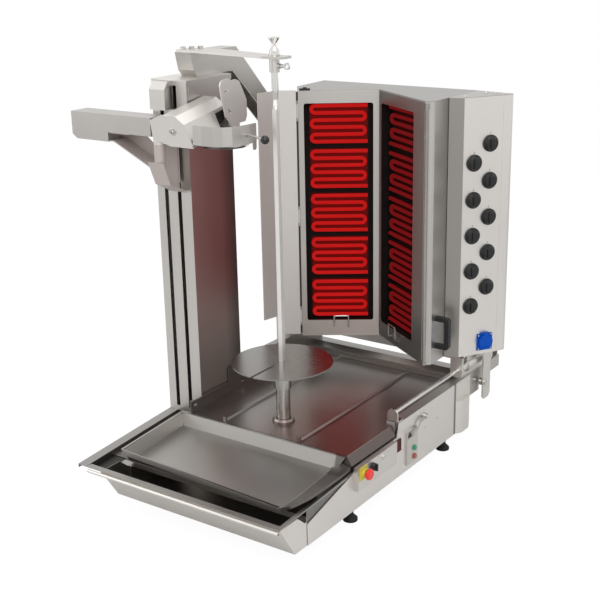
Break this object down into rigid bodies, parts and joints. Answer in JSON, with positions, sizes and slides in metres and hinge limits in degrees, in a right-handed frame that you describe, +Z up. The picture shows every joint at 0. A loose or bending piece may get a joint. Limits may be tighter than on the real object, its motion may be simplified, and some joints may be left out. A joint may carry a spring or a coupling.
{
  "type": "vertical rotisserie broiler",
  "caption": "Stainless vertical meat broiler: upright motor-driven spit with disc, V-shaped radiant heater cabinet, column-mounted automatic cutting head, carving pan and grease drawer.",
  "frame": {"origin": "on the counter plane, under the front rim edge, midway between the two side rims of the base", "axes": "+X to the right towards the control side, +Y back from the operator towards the heater, +Z up along the spit"},
  "size_m": [0.9864, 1.21, 1.25],
  "materials": {
    "black_gloss": "glossy black phenolic",
    "black_plastic": "moulded black plastic",
    "blade_steel": "ground knife steel",
    "blue_plastic": "blue socket housing",
    "bright_steel": "polished round bar and turned steel",
    "column_steel": "brushed stainless, slightly darker folds",
    "dark_cast": "dark painted gear housing",
    "display_red": "dark red display window",
    "element_rod": "oxidised heating element sheath",
    "foot_black": "black foot pads",
    "green_plastic": "green push button",
    "red_plastic": "glossy red mushroom",
    "refractory": "fired heat box, browned by use",
    "stainless": "brushed stainless sheet, satin with a fine grain",
    "yellow_plate": "yellow ring plate"
  },
  "bodies": {
    "base": {"chassis": "stainless", "feet": "foot_black", "side_panel_right": "stainless", "rear_frame": "stainless", "rim_frame": "stainless", "tub": "stainless", "spit_gearbox": "dark_cast", "bearing_plate": "stainless", "top_arm": "stainless", "column": "column_steel", "lift_guides": "bright_steel", "guide_bar": "bright_steel", "control_housing": "stainless", "stop_plate": "yellow_plate", "display": "display_red", "button_strip": "stainless"},
    "drawer": {"grease_drawer": "stainless"},
    "pan": {"carving_pan": "stainless"},
    "spit": {"drive_tube": "column_steel", "meat_disc": "stainless", "spit_bar": "bright_steel"},
    "top_pin": {"lift_pin": "bright_steel"},
    "pin_screw": {"thumb_screw": "bright_steel"},
    "screw": {"lead_screw": "bright_steel"},
    "lifter": {"lift_block": "dark_cast", "head_bracket": "stainless", "counter_arm": "stainless"},
    "head": {"head_housing": "stainless", "blade_guard": "stainless", "blade_motor": "black_plastic", "swing_ball": "black_gloss"},
    "knife": {"blade": "blade_steel"},
    "heater": {"heater_shell": "stainless", "edge_rod": "bright_steel", "panel_left": "stainless", "panel_right": "stainless", "heat_boxes": "refractory", "heating_elements": "element_rod", "cabinet_grip": "black_plastic", "control_box": "stainless", "service_socket": "blue_plastic", "carriage": "stainless"},
    "shield": {"shield_left": "stainless"},
    "clamp": {"clamp_screw": "black_plastic"},
    "lid": {"socket_lid": "blue_plastic"},
    "stop": {"stop_button": "red_plastic"},
    "selector": {"spit_selector": "black_plastic"},
    "start": {"start_button": "green_plastic"},
    "rest": {"rest_button": "black_plastic"},
    "latch": {"latch_wing": "stainless"},
    "knob_1": {"zone_knob_1": "black_plastic"},
    "knob_2": {"zone_knob_2": "black_plastic"},
    "knob_3": {"zone_knob_3": "black_plastic"},
    "knob_4": {"zone_knob_4": "black_plastic"},
    "knob_5": {"zone_knob_5": "black_plastic"},
    "knob_6": {"zone_knob_6": "black_plastic"},
    "knob_7": {"zone_knob_7": "black_plastic"},
    "knob_8": {"zone_knob_8": "black_plastic"},
    "knob_9": {"zone_knob_9": "black_plastic"},
    "knob_10": {"zone_knob_10": "black_plastic"}
  },
  "joints": [
    {"name": "spit_spin", "type": "hinge", "parent": "base", "child": "spit", "pos_m": [0.045, 0.425, 0.3], "axis": [0, 0, 1], "continuous": true},
    {"name": "top_pin_lift", "type": "slide", "parent": "base", "child": "top_pin", "axis": [0, 0, 1], "range_m": [0, 0.045]},
    {"name": "pin_screw_turn", "type": "hinge", "parent": "base", "child": "pin_screw", "pos_m": [0.065, 0.425, 1.178], "axis": [1, 0, 0], "range_deg": [-720, 0]},
    {"name": "lift", "type": "slide", "parent": "base", "child": "lifter", "axis": [0, 0, 1], "range_m": [-0.55, 0]},
    {"name": "lead_screw_turn", "type": "hinge", "parent": "base", "child": "screw", "pos_m": [-0.2785, 0.5, 0.6], "axis": [0, 0, 1], "range_deg": [-9950, 50]},
    {"name": "head_swing", "type": "hinge", "parent": "lifter", "child": "head", "pos_m": [-0.247, 0.3, 0.95], "axis": [0, 0, 1], "range_deg": [-40, 0]},
    {"name": "blade_spin", "type": "hinge", "parent": "head", "child": "knife", "pos_m": [-0.072, 0.36, 0.977], "axis": [0, 0, 1], "continuous": true},
    {"name": "heater_slide", "type": "slide", "parent": "base", "child": "heater", "axis": [0, -1, 0], "range_m": [0, 0.12]},
    {"name": "shield_swing", "type": "hinge", "parent": "heater", "child": "shield", "pos_m": [-0.15393, 0.80304, 0.68], "axis": [0, 0, 1], "range_deg": [0, 95]},
    {"name": "clamp_turn", "type": "hinge", "parent": "heater", "child": "clamp", "pos_m": [0.345, 1.056, 0.168], "axis": [1, 0, 0], "range_deg": [-720, 0]},
    {"name": "socket_lid_turn", "type": "hinge", "parent": "heater", "child": "lid", "pos_m": [0.39544, 0.96214, 0.363], "axis": [0.5445, 0.8387, 0], "range_deg": [-100, 0]},
    {"name": "drawer_slide", "type": "slide", "parent": "base", "child": "drawer", "axis": [0, -1, 0], "range_m": [0, 0.2]},
    {"name": "pan_lift", "type": "slide", "parent": "base", "child": "pan", "axis": [0, 0, 1], "range_m": [0, 0.06]},
    {"name": "stop_push", "type": "slide", "parent": "base", "child": "stop", "axis": [-1, 0, 0], "range_m": [0, 0.004]},
    {"name": "selector_turn", "type": "hinge", "parent": "base", "child": "selector", "pos_m": [0.352, 0.402, 0.151], "axis": [1, 0, 0], "range_deg": [-60, 60]},
    {"name": "start_push", "type": "slide", "parent": "base", "child": "start", "axis": [-1, 0, 0], "range_m": [0, 0.003], "stiffness_N_per_m": 400},
    {"name": "rest_push", "type": "slide", "parent": "base", "child": "rest", "axis": [-1, 0, 0], "range_m": [0, 0.003], "stiffness_N_per_m": 400},
    {"name": "latch_turn", "type": "hinge", "parent": "base", "child": "latch", "pos_m": [0.34, 0.701, 0.184], "axis": [1, 0, 0], "range_deg": [-75, 0]},
    {"name": "knob_1_turn", "type": "hinge", "parent": "heater", "child": "knob_1", "pos_m": [0.39584, 0.96367, 0.926], "axis": [0.8387, -0.5445, 0], "range_deg": [-300, 0]},
    {"name": "knob_2_turn", "type": "hinge", "parent": "heater", "child": "knob_2", "pos_m": [0.36807, 0.92089, 0.874], "axis": [0.8387, -0.5445, 0], "range_deg": [-300, 0]},
    {"name": "knob_3_turn", "type": "hinge", "parent": "heater", "child": "knob_3", "pos_m": [0.39584, 0.96367, 0.8205], "axis": [0.8387, -0.5445, 0], "range_deg": [-300, 0]},
    {"name": "knob_4_turn", "type": "hinge", "parent": "heater", "child": "knob_4", "pos_m": [0.36807, 0.92089, 0.768], "axis": [0.8387, -0.5445, 0], "range_deg": [-300, 0]},
    {"name": "knob_5_turn", "type": "hinge", "parent": "heater", "child": "knob_5", "pos_m": [0.39584, 0.96367, 0.715], "axis": [0.8387, -0.5445, 0], "range_deg": [-300, 0]},
    {"name": "knob_6_turn", "type": "hinge", "parent": "heater", "child": "knob_6", "pos_m": [0.36807, 0.92089, 0.6635], "axis": [0.8387, -0.5445, 0], "range_deg": [-300, 0]},
    {"name": "knob_7_turn", "type": "hinge", "parent": "heater", "child": "knob_7", "pos_m": [0.39584, 0.96367, 0.61], "axis": [0.8387, -0.5445, 0], "range_deg": [-300, 0]},
    {"name": "knob_8_turn", "type": "hinge", "parent": "heater", "child": "knob_8", "pos_m": [0.36807, 0.92089, 0.5585], "axis": [0.8387, -0.5445, 0], "range_deg": [-300, 0]},
    {"name": "knob_9_turn", "type": "hinge", "parent": "heater", "child": "knob_9", "pos_m": [0.39584, 0.96367, 0.506], "axis": [0.8387, -0.5445, 0], "range_deg": [-300, 0]},
    {"name": "knob_10_turn", "type": "hinge", "parent": "heater", "child": "knob_10", "pos_m": [0.36807, 0.92089, 0.453], "axis": [0.8387, -0.5445, 0], "range_deg": [-300, 0]}
  ],
  "couplings": [
    {"joint": "lead_screw_turn", "follows": "lift", "rad_per_m": 314.16}
  ]
}
